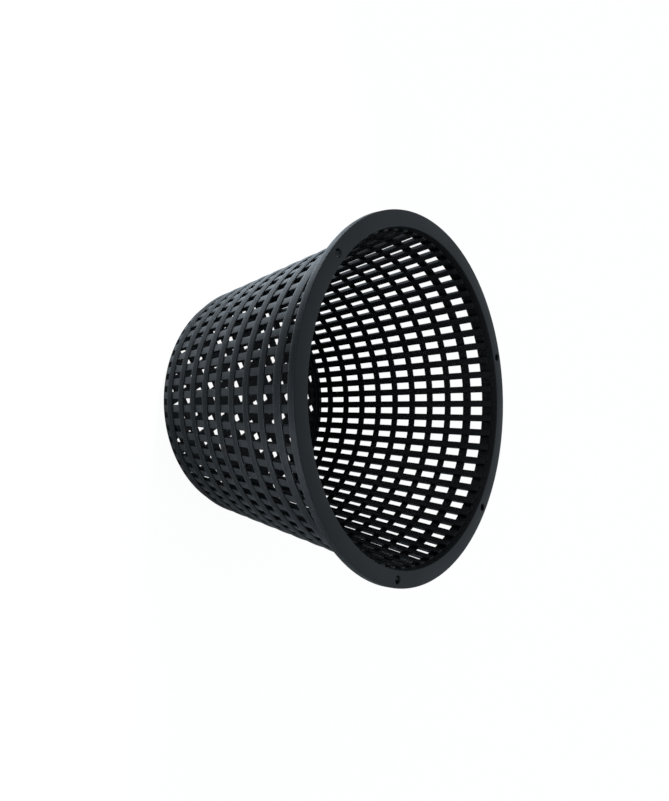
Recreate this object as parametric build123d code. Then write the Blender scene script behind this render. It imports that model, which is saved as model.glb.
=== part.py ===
from build123d import *
import math
import os

# Hydroponic net pot, one moulding: a flat flange, a tapered wall of ribs inside hoops, and a barred floor.
# Millimetres, +Z towards the mouth, origin at the centre of the base on the ground.

# Flange
pot_height = 106.2
flange_diameter = 160.0
flange_width = 7.2
flange_thickness = 3.4

# Hanging holes, clear of the collar: three a third of a turn apart, and one opposite the first of them
hanging_hole_diameter = 3.4
hanging_hole_inset = 3.5
hanging_hole_angles = (180.0, 300.0, 60.0, 0.0)

# Ribs, which lean with the wall and end under the flange, just behind its lip
wall_taper = 10.3
mouth_lip = 0.1
rib_count = 60
rib_width = 3.3
rib_depth = 1.2

# Hoops outside the ribs, with an upright face in short flats, so that each one steps out of the wall
hoop_count = 9
hoop_flat_count = 34
hoop_height = 3.3
hoop_stand = 0.35
first_hoop_base = 7.75
top_hoop_height = 4.2

# Collar, the plain band under the flange
collar_height = 5.05
collar_thickness = 1.0

# Base
base_ring_height = 3.85
base_ring_inset = 3.2
floor_thickness = 2.0
floor_opening = 4.2
floor_pitch = 7.6
floor_margin = 2.2
floor_turn = -18.0

flange_bottom = pot_height - flange_thickness
collar_bottom = flange_bottom - collar_height
hoop_pitch = (collar_bottom - first_hoop_base) / hoop_count
flange_radius = flange_diameter / 2
mouth_radius = flange_radius - flange_width
wall_slope = math.tan(math.radians(wall_taper))
rib_step = 360 / rib_count


def inner_radius(z):
    """Radius of the inner cone at a height, which the lip of the mouth follows."""
    return mouth_radius - (pot_height - z) * wall_slope


def rib_outer(z):
    """Distance of the ribs' outer faces from the axis at a height, which is also where the hoops begin."""
    return inner_radius(z) + mouth_lip + rib_depth


def hoop_outer(top):
    """Radius of a hoop, set by how far its top edge stands out of the ribs."""
    return rib_outer(top) + hoop_stand


def rib_corners(z, depth):
    """Corners of the ribs at a height and a depth behind their outer faces, in order around the pot."""
    corners = []
    for number in range(rib_count):
        for side in (-rib_width / 2, rib_width / 2):
            corners.append(Vector(rib_outer(z) - depth, side, z).rotate(Axis.Z, number * rib_step))
    return corners


def make_inside(bottom, top, depth):
    """Space between two heights with a flat side for each rib and each column of windows."""
    low = rib_corners(bottom, depth)
    high = rib_corners(top, depth)
    sides = [make_face(Polyline(*low, close=True)), make_face(Polyline(*high, close=True))]
    for number in range(len(low)):
        before = number - 1
        sides.append(make_face(Polyline(low[before], low[number], high[number], high[before], close=True)))
    return Solid(Shell([side.face() for side in sides]))


def make_ribs():
    """Straight ribs with parallel sides, from the base ring to the flange."""
    profile = Polyline(
        (rib_outer(base_ring_height) - rib_depth, base_ring_height),
        (rib_outer(base_ring_height), base_ring_height),
        (rib_outer(flange_bottom), flange_bottom),
        (rib_outer(flange_bottom) - rib_depth, flange_bottom),
        close=True,
    )
    rib = extrude(make_face(Plane.XZ * profile), rib_width / 2, both=True)
    return PolarLocations(0, rib_count) * rib


def make_hoops(inside):
    """Hoops between the rows of windows; the topmost is a little taller."""
    hoops = []
    for number in range(hoop_count):
        height = top_hoop_height if number == hoop_count - 1 else hoop_height
        bottom = first_hoop_base + number * hoop_pitch
        outline = RegularPolygon(hoop_outer(bottom + height), hoop_flat_count, major_radius=False)
        hoops.append(Pos(0, 0, bottom) * extrude(outline, height) - inside)
    return hoops


def make_top(inside):
    """Plain collar, and the flange with its hanging holes and a lip that follows the taper."""
    collar_radius = rib_outer(flange_bottom) + collar_thickness
    collar = Pos(0, 0, collar_bottom) * extrude(Circle(collar_radius), collar_height) - inside
    face = Circle(flange_radius)
    for angle in hanging_hole_angles:
        face -= Rot(0, 0, angle) * Pos(flange_radius - hanging_hole_inset) * Circle(hanging_hole_diameter / 2)
    lip_align = (Align.CENTER, Align.CENTER, Align.MIN)
    mouth = Cone(inner_radius(flange_bottom), mouth_radius, flange_thickness, align=lip_align)
    return [collar, Pos(0, 0, flange_bottom) * (extrude(face, flange_thickness) - mouth)]


def floor_openings():
    """Square grid of openings, kept where a whole one fits inside the ribs."""
    reach = rib_outer(floor_thickness) - rib_depth - floor_margin
    across = 2 * math.ceil(reach / floor_pitch)
    squares = Sketch()
    for place in GridLocations(floor_pitch, floor_pitch, across, across):
        corner_x = abs(place.position.X) + floor_opening / 2
        corner_y = abs(place.position.Y) + floor_opening / 2
        if math.hypot(corner_x, corner_y) <= reach:
            squares += place * Rectangle(floor_opening, floor_opening)
    return extrude(Rot(0, 0, floor_turn) * squares, floor_thickness)


def make_base():
    """Base ring with a sloping side, and the barred floor."""
    ring_radius = hoop_outer(base_ring_height)
    profile = Polyline(
        (0, 0),
        (ring_radius - base_ring_inset, 0),
        (ring_radius, base_ring_height),
        (0, base_ring_height),
        close=True,
    )
    blank = revolve(make_face(Plane.XZ * profile), Axis.Z)
    return blank - make_inside(floor_thickness, base_ring_height, rib_depth) - floor_openings()


inside = make_inside(0, flange_bottom, 0)
net_pot = make_base() + make_top(inside) + make_hoops(inside) + list(make_ribs())
net_pot.label = "net_pot"

os.makedirs("parts", exist_ok=True)
export_step(net_pot, "parts/net_pot.step")
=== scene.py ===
import bpy
import bmesh
import math
from mathutils import Matrix, Vector


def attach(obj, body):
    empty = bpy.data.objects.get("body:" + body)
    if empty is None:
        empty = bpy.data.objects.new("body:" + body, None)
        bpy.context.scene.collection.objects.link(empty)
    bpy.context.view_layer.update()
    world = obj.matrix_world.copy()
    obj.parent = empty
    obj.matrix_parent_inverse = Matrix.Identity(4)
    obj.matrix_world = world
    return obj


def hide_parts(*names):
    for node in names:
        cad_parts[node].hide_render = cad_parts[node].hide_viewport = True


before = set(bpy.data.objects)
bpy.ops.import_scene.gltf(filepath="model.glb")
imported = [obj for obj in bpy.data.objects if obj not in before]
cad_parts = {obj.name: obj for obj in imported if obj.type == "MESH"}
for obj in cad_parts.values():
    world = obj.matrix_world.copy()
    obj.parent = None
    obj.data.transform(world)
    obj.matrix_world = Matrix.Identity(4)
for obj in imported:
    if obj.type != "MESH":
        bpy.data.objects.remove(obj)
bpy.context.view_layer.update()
print("frame loaded:", sorted(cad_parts))

mm = 0.001

# the taper that ribs, hoops and floor share, in mm
wall = {
    "height": 106.2,
    "flangeUnder": 102.8,
    "mouthRadius": 72.8,
    "taper": 10.3,
    "ribCount": 60,
    "ribDepth": 1.2,
    "ribInward": 0.8,       # ribs go this much deeper into the pot than the solid's
    "ribBehindLip": 0.1,
    "floorTop": 2.0,
    "roundSteps": 240,      # segments of every turned piece
}


# cone of the mouth's lip, which the wall follows
def innerRadius(z):
    return wall["mouthRadius"] - (wall["height"] - z) * math.tan(math.radians(wall["taper"]))


def ribOuter(z):
    return innerRadius(z) + wall["ribBehindLip"] + wall["ribDepth"]


# rounds the corners of an outline of (radius, height, cornerRadius)
def roundedOutline(corners, steps):
    longestCut = 0.49       # share of a side that one corner may take
    line = []
    for i, (x, z, r) in enumerate(corners):
        here = Vector((x, z))
        if r <= 0:
            line.append(here)
            continue
        a = Vector(corners[i - 1][:2]) - here
        b = Vector(corners[(i + 1) % len(corners)][:2]) - here
        half = a.angle(b) / 2
        cut = min(r / math.tan(half), a.length * longestCut, b.length * longestCut)
        p, q = here + a.normalized() * cut, here + b.normalized() * cut
        for k in range(steps + 1):
            t = k / steps
            line.append(p * (1 - t) ** 2 + here * 2 * t * (1 - t) + q * t ** 2)
    return line


# turns an outline about the pot's axis
def turnOutline(bm, line, closed=True):
    steps = wall["roundSteps"]
    rings = []
    for k in range(steps):
        a = 2 * math.pi * k / steps
        c, s = math.cos(a), math.sin(a)
        rings.append([bm.verts.new((p.x * mm * c, p.x * mm * s, p.y * mm)) for p in line])
    for k in range(steps):
        here, there = rings[k], rings[(k + 1) % steps]
        for i in range(len(line) if closed else len(line) - 1):
            j = (i + 1) % len(line)
            bm.faces.new((here[i], there[i], there[j], here[j]))
    return rings


# closed body through rings of points with equal counts
def skinRings(bm, rings):
    bm.faces.new(rings[0])
    bm.faces.new(rings[-1])
    for low, high in zip(rings, rings[1:]):
        for k in range(len(low)):
            m = (k + 1) % len(low)
            bm.faces.new((low[k], low[m], high[m], high[k]))


def newObject(name, bm):
    bmesh.ops.recalc_face_normals(bm, faces=bm.faces[:])
    mesh = bpy.data.meshes.new(name)
    bm.to_mesh(mesh)
    bm.free()
    made = bpy.data.objects.new(name, mesh)
    bpy.context.scene.collection.objects.link(made)
    return made


# applies the modifiers of a helper object and takes it out of the scene
def takeMesh(source):
    seen = source.evaluated_get(bpy.context.evaluated_depsgraph_get())
    mesh = bpy.data.meshes.new_from_object(seen)
    bpy.data.objects.remove(source)
    return mesh


def addBevel(target, width, steps, angle):
    bevel = target.modifiers.new("softEdges", "BEVEL")
    bevel.width = width * mm
    bevel.segments = steps
    bevel.limit_method = "ANGLE"
    bevel.angle_limit = math.radians(angle)
    bevel.use_clamp_overlap = True


def cutWith(target, cutter):
    cut = target.modifiers.new("cut", "BOOLEAN")
    cut.operation = "DIFFERENCE"
    cut.solver = "EXACT"
    cut.object = cutter


# flange and collar
flange = {
    "radius": 80.0,
    "edge": 0.45,           # rounding of the rim
    "lipFoot": 0.1,         # roundings of the underside at the lip
    "ribSeat": 0.05,        # and at the ribs
    "collarBottom": 97.75,
    "collarRadius": 74.48,
    "collarEdge": 0.35,
    "collarInnerEdge": 0.2,
    "fillet": 0.6,          # collar into flange, outside
    "cornerSteps": 3,
    "holeRadius": 1.7,
    "holeCircle": 76.5,
    "holeAngles": (0, 60, 180, 300),
    "holeFlare": 0.25,
    "holeSides": 32,
    "cutterReach": 1.0,     # past both faces of the flange
}


def makeFlange():
    under, top = wall["flangeUnder"], wall["height"]
    bm = bmesh.new()
    line = roundedOutline([
        (ribOuter(flange["collarBottom"]), flange["collarBottom"], flange["collarInnerEdge"]),
        (flange["collarRadius"], flange["collarBottom"], flange["collarEdge"]),
        (flange["collarRadius"], under, flange["fillet"]),
        (flange["radius"], under, flange["edge"]),
        (flange["radius"], top, flange["edge"]),
        (wall["mouthRadius"], top, flange["edge"]),
        (innerRadius(under), under, flange["lipFoot"]),
        (ribOuter(under), under, flange["ribSeat"]),
    ], flange["cornerSteps"])
    turnOutline(bm, line)
    body = newObject("flangeBlank", bm)
    # hanging holes, flared a little at both faces
    bm = bmesh.new()
    r, f, reach = flange["holeRadius"], flange["holeFlare"], flange["cutterReach"]
    wide = r + f + reach
    levels = ((under - reach, wide), (under + f, r), (top - f, r), (top + reach, wide))
    turns = [2 * math.pi * k / flange["holeSides"] for k in range(flange["holeSides"])]
    for angle in flange["holeAngles"]:
        c = Matrix.Rotation(math.radians(angle), 3, "Z") @ Vector((flange["holeCircle"], 0, 0))
        rings = []
        for z, w in levels:
            circle = [(c.x + w * math.cos(t), c.y + w * math.sin(t)) for t in turns]
            rings.append([bm.verts.new((x * mm, y * mm, z * mm)) for x, y in circle])
        skinRings(bm, rings)
    cutter = newObject("holeCutter", bm)
    cutWith(body, cutter)
    mesh = takeMesh(body)
    bpy.data.objects.remove(cutter)
    return mesh


# hoops: upright outer face, back face on the taper, sunk a little into the ribs
hoop = {
    "count": 9,
    "first": 7.75,
    "pitch": 10.0,
    "height": 3.3,
    "topHeight": 4.2,
    "stand": 0.35,
    "sink": 0.2,
    "lowEdge": 0.7,         # soft, so that it casts no hard line on the ribs
    "topEdge": 0.3,
    "backEdge": 0.15,
    "cornerSteps": 3,
}


def makeHoops():
    bm = bmesh.new()
    for k in range(hoop["count"]):
        low = hoop["first"] + k * hoop["pitch"]
        high = low + (hoop["topHeight"] if k == hoop["count"] - 1 else hoop["height"])
        out = ribOuter(high) + hoop["stand"]
        turnOutline(bm, roundedOutline([
            (ribOuter(low) - hoop["sink"], low, hoop["backEdge"]),
            (out, low, hoop["lowEdge"]),
            (out, high, hoop["topEdge"]),
            (ribOuter(high) - hoop["sink"], high, hoop["backEdge"]),
        ], hoop["cornerSteps"]))
    return takeMesh(newObject("hoopSet", bm))


# ribs: parallel sides, from the base ring into the flange
rib = {
    "width": 3.3,
    "edge": 0.28,
    "edgeSteps": 3,
    "edgeAngle": 25,
    "sink": 0.5,            # how far both ends go into base ring and flange
}


def makeRibs():
    bm = bmesh.new()
    half = rib["width"] / 2
    ends = (base["ringHeight"] - rib["sink"], wall["flangeUnder"] + rib["sink"])
    for n in range(wall["ribCount"]):
        turn = Matrix.Rotation(2 * math.pi * n / wall["ribCount"], 3, "Z")
        rings = []
        for z in ends:
            outer = ribOuter(z)
            inner = outer - wall["ribDepth"] - wall["ribInward"]
            ring = [(inner, -half, z), (outer, -half, z), (outer, half, z), (inner, half, z)]
            rings.append([bm.verts.new(turn @ Vector(p) * mm) for p in ring])
        skinRings(bm, rings)
    ribs = newObject("ribSet", bm)
    addBevel(ribs, rib["edge"], rib["edgeSteps"], rib["edgeAngle"])
    return takeMesh(ribs)


# base ring with its rounded lower edge, and the barred floor
base = {
    "ringHeight": 3.85,
    "stand": 0.25,
    "inset": 2.9,           # how far the sloping side comes in
    "corner": 1.6,          # rounding into the floor
    "edge": 0.4,
    "innerEdge": 0.2,
    "floorEdge": 0.4,
    "cornerSteps": 5,
    "ribGap": 0.05,         # the ring's inner face lies this far inside the ribs'
    "underLap": 4.0,        # the outline ends this far in, below, and a flat disc closes it
    "floorLap": 2.0,        # the same above
    "opening": 4.2,
    "pitch": 7.6,
    "turn": -18.0,
    "reach": 52.4,          # openings end on this radius
    "reachSides": 120,
    "shortest": 0.1,        # shorter sides of a cut opening are left out
    "smallest": 2.0,        # square mm; smaller corners stay closed
    "openingEdge": 0.22,
    "openingEdgeSteps": 2,
    "openingEdgeAngle": 60,
}


# the part of a polygon that lies inside a circle about the axis, or nothing where only a crumb is left
def clipToCircle(points, radius):
    for k in range(base["reachSides"]):
        angle = 2 * math.pi * k / base["reachSides"]
        side = Vector((math.cos(angle), math.sin(angle)))
        kept = []
        for a, b in zip(points, points[1:] + points[:1]):
            overA, overB = side.dot(a) - radius, side.dot(b) - radius
            if overA <= 0:
                kept.append(a)
            if overA * overB < 0:
                kept.append(a.lerp(b, overA / (overA - overB)))
        points = kept
    points = [q for k, q in enumerate(points) if (q - points[k - 1]).length > base["shortest"]]
    area = sum(points[k - 1].cross(q) for k, q in enumerate(points)) / 2
    return points if area > base["smallest"] else []


# square openings; the border cuts the outermost ones
def makeOpeningCutter():
    bm = bmesh.new()
    p, o = base["pitch"], base["opening"] / 2
    across = math.ceil(base["reach"] / p)
    turn = Matrix.Rotation(math.radians(base["turn"]), 3, "Z")
    levels = (-wall["floorTop"], 2 * wall["floorTop"])      # well past both faces of the floor
    for i in range(-across, across):
        for j in range(-across, across):
            x, y = (i + 0.5) * p, (j + 0.5) * p
            corners = ((x - o, y - o), (x + o, y - o), (x + o, y + o), (x - o, y + o))
            shape = clipToCircle([Vector(q) for q in corners], base["reach"])
            if shape:
                skinRings(bm, [
                    [bm.verts.new(turn @ Vector((q.x, q.y, z)) * mm) for q in shape] for z in levels
                ])
    return newObject("openingCutter", bm)


def makeBase():
    ring, top = ribOuter(base["ringHeight"]) + base["stand"], wall["floorTop"]
    inner = wall["ribDepth"] + wall["ribInward"] + base["ribGap"]
    bm = bmesh.new()
    rings = turnOutline(bm, roundedOutline([
        (ring - base["inset"] - base["underLap"], 0, 0),
        (ring - base["inset"], 0, base["corner"]),
        (ring, base["ringHeight"], base["edge"]),
        (ribOuter(base["ringHeight"]) - inner, base["ringHeight"], base["innerEdge"]),
        (ribOuter(top) - inner, top, base["floorEdge"]),
        (ribOuter(top) - inner - base["floorLap"], top, 0),
    ], base["cornerSteps"]), closed=False)
    bm.faces.new([r[0] for r in rings])
    bm.faces.new([r[-1] for r in rings])
    body = newObject("baseBlank", bm)
    cutter = makeOpeningCutter()
    cutWith(body, cutter)
    addBevel(body, base["openingEdge"], base["openingEdgeSteps"], base["openingEdgeAngle"])
    mesh = takeMesh(body)
    bpy.data.objects.remove(cutter)
    return mesh


# one moulding: all of it in one mesh
moulding = {"weld": 1e-7, "sharpAngle": 38}


def makePot():
    bm = bmesh.new()
    for mesh in (makeFlange(), makeHoops(), makeRibs(), makeBase()):
        bm.from_mesh(mesh)
        bpy.data.meshes.remove(mesh)
    bmesh.ops.remove_doubles(bm, verts=bm.verts[:], dist=moulding["weld"])
    made = newObject("netPot", bm)
    made.data.shade_smooth()
    made.data.set_sharp_from_angle(angle=math.radians(moulding["sharpAngle"]))
    return made


pot = makePot()
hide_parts("net_pot")
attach(pot, "root")
print("net pot built:", len(pot.data.polygons), "faces")

# sockets of a colour mix node, whose names repeat
mixA, mixB, mixResult = 6, 7, 2


def linkNodes(tree, *pairs):
    for a, b in pairs:
        tree.links.new(a, b)


# new group with inputs and outputs given as (name, kind)
def newGroup(name, inputs, outputs):
    group = bpy.data.node_groups.new(name, "ShaderNodeTree")
    for way, sockets in (("INPUT", inputs), ("OUTPUT", outputs)):
        for label, kind in sockets:
            group.interface.new_socket(label, in_out=way, socket_type="NodeSocket" + kind)
    return group, group.nodes.new("NodeGroupInput"), group.nodes.new("NodeGroupOutput")


# the surface's direction, seen from the object
def addNormal(group):
    geo = group.nodes.new("ShaderNodeNewGeometry")
    turn = group.nodes.new("ShaderNodeVectorTransform")
    turn.vector_type = "NORMAL"
    turn.convert_from, turn.convert_to = "WORLD", "OBJECT"
    group.links.new(geo.outputs["Normal"], turn.inputs["Vector"])
    return turn.outputs["Vector"]


# fine grain of a spark-eroded mould and slow cloudy changes of gloss
mouldGrain = {"grainDetail": 2, "cloudDetail": 4, "cloudLow": 0.3, "cloudHigh": 0.7}


def makeGrainGroup():
    group, inn, out = newGroup(
        "mouldGrain",
        (
            ("Grain Scale", "Float"), ("Cloud Scale", "Float"),
            ("Rough Low", "Float"), ("Rough High", "Float"),
            ("Dark", "Color"), ("Pale", "Color"),
        ),
        (("Color", "Color"), ("Roughness", "Float"), ("Height", "Float")),
    )
    n = group.nodes
    coord = n.new("ShaderNodeTexCoord")
    grain, cloud = n.new("ShaderNodeTexNoise"), n.new("ShaderNodeTexNoise")
    grain.inputs["Detail"].default_value = mouldGrain["grainDetail"]
    cloud.inputs["Detail"].default_value = mouldGrain["cloudDetail"]
    rough, tint = n.new("ShaderNodeMapRange"), n.new("ShaderNodeMix")
    rough.inputs["From Min"].default_value = mouldGrain["cloudLow"]
    rough.inputs["From Max"].default_value = mouldGrain["cloudHigh"]
    tint.data_type = "RGBA"
    linkNodes(
        group,
        (coord.outputs["Object"], grain.inputs["Vector"]),
        (coord.outputs["Object"], cloud.inputs["Vector"]),
        (inn.outputs["Grain Scale"], grain.inputs["Scale"]),
        (inn.outputs["Cloud Scale"], cloud.inputs["Scale"]),
        (cloud.outputs["Fac"], rough.inputs["Value"]),
        (inn.outputs["Rough Low"], rough.inputs["To Min"]),
        (inn.outputs["Rough High"], rough.inputs["To Max"]),
        (cloud.outputs["Fac"], tint.inputs["Factor"]),
        (inn.outputs["Dark"], tint.inputs[mixA]),
        (inn.outputs["Pale"], tint.inputs[mixB]),
        (tint.outputs[mixResult], out.inputs["Color"]),
        (rough.outputs["Result"], out.inputs["Roughness"]),
        (grain.outputs["Fac"], out.inputs["Height"]),
    )
    return group


# 1 on upright faces such as hoops and rims, 0 on faces that lean with the wall
def makeUprightGroup():
    group, inn, out = newGroup("uprightFaces", (("Full", "Float"), ("None", "Float")), (("Mask", "Float"),))
    n = group.nodes
    split, size = n.new("ShaderNodeSeparateXYZ"), n.new("ShaderNodeMath")
    size.operation = "ABSOLUTE"
    mask = n.new("ShaderNodeMapRange")
    mask.inputs["To Min"].default_value = 1
    mask.inputs["To Max"].default_value = 0
    linkNodes(
        group,
        (addNormal(group), split.inputs["Vector"]),
        (split.outputs["Z"], size.inputs[0]),
        (size.outputs[0], mask.inputs["Value"]),
        (inn.outputs["Full"], mask.inputs["From Min"]),
        (inn.outputs["None"], mask.inputs["From Max"]),
        (mask.outputs["Result"], out.inputs["Mask"]),
    )
    return group


# 1 on faces that look at a point on the axis, which are the inside of the wall and the top of the floor
def makeInsideGroup():
    group, inn, out = newGroup(
        "insideFaces",
        (("Centre", "Vector"), ("None", "Float"), ("Full", "Float")),
        (("Mask", "Float"),),
    )
    n = group.nodes
    coord, mask = n.new("ShaderNodeTexCoord"), n.new("ShaderNodeMapRange")
    away, unit, dot = (n.new("ShaderNodeVectorMath") for _ in range(3))
    away.operation, unit.operation, dot.operation = "SUBTRACT", "NORMALIZE", "DOT_PRODUCT"
    linkNodes(
        group,
        (inn.outputs["Centre"], away.inputs[0]),
        (coord.outputs["Object"], away.inputs[1]),
        (away.outputs["Vector"], unit.inputs[0]),
        (unit.outputs["Vector"], dot.inputs[0]),
        (addNormal(group), dot.inputs[1]),
        (dot.outputs["Value"], mask.inputs["Value"]),
        (inn.outputs["None"], mask.inputs["From Min"]),
        (inn.outputs["Full"], mask.inputs["From Max"]),
        (mask.outputs["Result"], out.inputs["Mask"]),
    )
    return group


plastic = {
    "grain": {
        "Dark": (0.0022, 0.0025, 0.0030, 1),
        "Pale": (0.0040, 0.0044, 0.0052, 1),
        "Rough Low": 0.38,
        "Rough High": 0.50,
        "Grain Scale": 2600.0,
        "Cloud Scale": 45.0,
    },
    "upright": {"Full": 0.06, "None": 0.15},
    "inside": {"Centre": (0, 0, 0.08), "None": 0.1, "Full": 0.4},
    "bump": 0.12,
    "bumpDepth": 0.00004,
    "specular": 0.42,
    "uprightPaintedShadeSpecular": 0.24,    # upright faces reflect less: painted shade that makes hoops and rims darker than the ribs
    "insidePaintedShadeSpecular": 0.24,     # and the inside reflects less: painted shade in the pot
}


def makePlastic():
    m = bpy.data.materials.new("blackPlastic")
    m.use_nodes = True
    tree = m.node_tree
    shader = tree.nodes["Principled BSDF"]

    def addGroup(group, values):
        node = tree.nodes.new("ShaderNodeGroup")
        node.node_tree = group
        for name, value in values.items():
            node.inputs[name].default_value = value
        return node

    grain = addGroup(makeGrainGroup(), plastic["grain"])
    upright = addGroup(makeUprightGroup(), plastic["upright"])
    inside = addGroup(makeInsideGroup(), plastic["inside"])
    outer, gloss = tree.nodes.new("ShaderNodeMapRange"), tree.nodes.new("ShaderNodeMapRange")
    # painted shade: upright hoops and rims get a lower specular level than the leaning ribs
    outer.inputs["To Min"].default_value = plastic["specular"]
    outer.inputs["To Max"].default_value = plastic["uprightPaintedShadeSpecular"]
    # painted shade: faces on the inside of the pot get a lower specular level
    gloss.inputs["To Max"].default_value = plastic["insidePaintedShadeSpecular"]
    bump = tree.nodes.new("ShaderNodeBump")
    bump.inputs["Strength"].default_value = plastic["bump"]
    bump.inputs["Distance"].default_value = plastic["bumpDepth"]
    linkNodes(
        tree,
        (grain.outputs["Color"], shader.inputs["Base Color"]),
        (grain.outputs["Roughness"], shader.inputs["Roughness"]),
        (upright.outputs["Mask"], outer.inputs["Value"]),
        (outer.outputs["Result"], gloss.inputs["To Min"]),
        (inside.outputs["Mask"], gloss.inputs["Value"]),
        (gloss.outputs["Result"], shader.inputs["Specular IOR Level"]),
        (grain.outputs["Height"], bump.inputs["Height"]),
        (bump.outputs["Normal"], shader.inputs["Normal"]),
    )
    return m


pot.data.materials.clear()
pot.data.materials.append(makePlastic())
print("plastic done")

# floor: white to the camera, with a share of its own shading so that the shadow shows
ground = {
    "size": 6.0,
    "gap": 0.0001,          # just under the pot
    "colour": (0.86, 0.86, 0.86, 1),
    "roughness": 0.9,
    "specular": 0.1,
    "shade": 0.10,
    "light": 1.06,
}


def makeGround():
    bm = bmesh.new()
    bmesh.ops.create_grid(bm, x_segments=1, y_segments=1, size=ground["size"] / 2)
    made = newObject("ground", bm)
    made.location.z = -ground["gap"]
    m = bpy.data.materials.new("paleGround")
    m.use_nodes = True
    tree = m.node_tree
    shader = tree.nodes["Principled BSDF"]
    shader.inputs["Base Color"].default_value = ground["colour"]
    shader.inputs["Roughness"].default_value = ground["roughness"]
    shader.inputs["Specular IOR Level"].default_value = ground["specular"]
    light = tree.nodes.new("ShaderNodeEmission")
    light.inputs["Strength"].default_value = ground["light"]
    path = tree.nodes.new("ShaderNodeLightPath")
    share = tree.nodes.new("ShaderNodeMath")
    share.operation = "MULTIPLY"
    share.inputs[1].default_value = 1 - ground["shade"]
    mix = tree.nodes.new("ShaderNodeMixShader")
    linkNodes(
        tree,
        (path.outputs["Is Camera Ray"], share.inputs[0]),
        (share.outputs[0], mix.inputs["Fac"]),
        (shader.outputs[0], mix.inputs[1]),
        (light.outputs[0], mix.inputs[2]),
        (mix.outputs[0], tree.nodes["Material Output"].inputs["Surface"]),
    )
    made.data.materials.append(m)


makeGround()

# studio: a pale cool room that the camera sees as white, and two lamps with narrow beams
# on the ground beside the pot, so that its outside is lit from below
studio = {
    "room": 0.54,
    "tint": (0.78, 0.90, 1.0),
    "seenRoom": 1.0,        # what the camera sees of it
    "seenTint": (1, 1, 1),
    "lamps": (
        # name, place, aims at, width, spread, watts
        ("topLamp", (-0.38, 0.31, 0.35), (-0.14, 0.09, 0), 0.10, 28, 0.36),
        ("frontLamp", (-0.09, -0.27, 0.50), (-0.09, -0.25, 0), 0.15, 32, 0.42),
    ),
}


def makeLamps():
    for name, place, aim, width, spread, watts in studio["lamps"]:
        data = bpy.data.lights.new(name, "AREA")
        data.shape = "DISK"
        data.size = width
        data.spread = math.radians(spread)
        data.energy = watts
        data.color = studio["tint"]
        lamp = bpy.data.objects.new(name, data)
        lamp.location = place
        lamp.rotation_euler = (Vector(aim) - Vector(place)).to_track_quat("-Z", "Y").to_euler()
        bpy.context.scene.collection.objects.link(lamp)


def makeRoom():
    world = bpy.data.worlds.new("room")
    bpy.context.scene.world = world
    world.use_nodes = True
    tree = world.node_tree
    back = tree.nodes["Background"]
    path = tree.nodes.new("ShaderNodeLightPath")
    seen = tree.nodes.new("ShaderNodeMath")
    seen.operation = "MAXIMUM"
    level = tree.nodes.new("ShaderNodeMapRange")
    level.inputs["To Min"].default_value = studio["room"]
    level.inputs["To Max"].default_value = studio["seenRoom"]
    tint = tree.nodes.new("ShaderNodeMix")
    tint.data_type = "RGBA"
    tint.inputs[mixA].default_value = (*studio["tint"], 1)
    tint.inputs[mixB].default_value = (*studio["seenTint"], 1)
    linkNodes(
        tree,
        (path.outputs["Is Camera Ray"], seen.inputs[0]),
        (path.outputs["Is Transmission Ray"], seen.inputs[1]),
        (seen.outputs[0], level.inputs["Value"]),
        (seen.outputs[0], tint.inputs["Factor"]),
        (tint.outputs[mixResult], back.inputs["Color"]),
        (level.outputs["Result"], back.inputs["Strength"]),
    )


makeLamps()
makeRoom()

# camera of the photograph: the pot's axis runs to the right in the picture
camera = {
    "place": (-184.18, -186.71, 272.97),
    "turn": (3.5396, -52.4939, 43.1473),
    "lens": 32.324,
    "sensor": 36,
    "shift": (-0.02778, -0.03016),
    "near": 0.01,
    "far": 20,
}


def makeCamera():
    data = bpy.data.cameras.new("photoCamera")
    data.lens = camera["lens"]
    data.sensor_width = camera["sensor"]
    data.shift_x, data.shift_y = camera["shift"]
    data.clip_start, data.clip_end = camera["near"], camera["far"]
    made = bpy.data.objects.new("photoCamera", data)
    made.location = Vector(camera["place"]) * mm
    made.rotation_euler = [math.radians(a) for a in camera["turn"]]
    bpy.context.scene.collection.objects.link(made)
    bpy.context.scene.camera = made


makeCamera()
bpy.context.scene.view_settings.view_transform = "Standard"
print("stage, light and camera done")
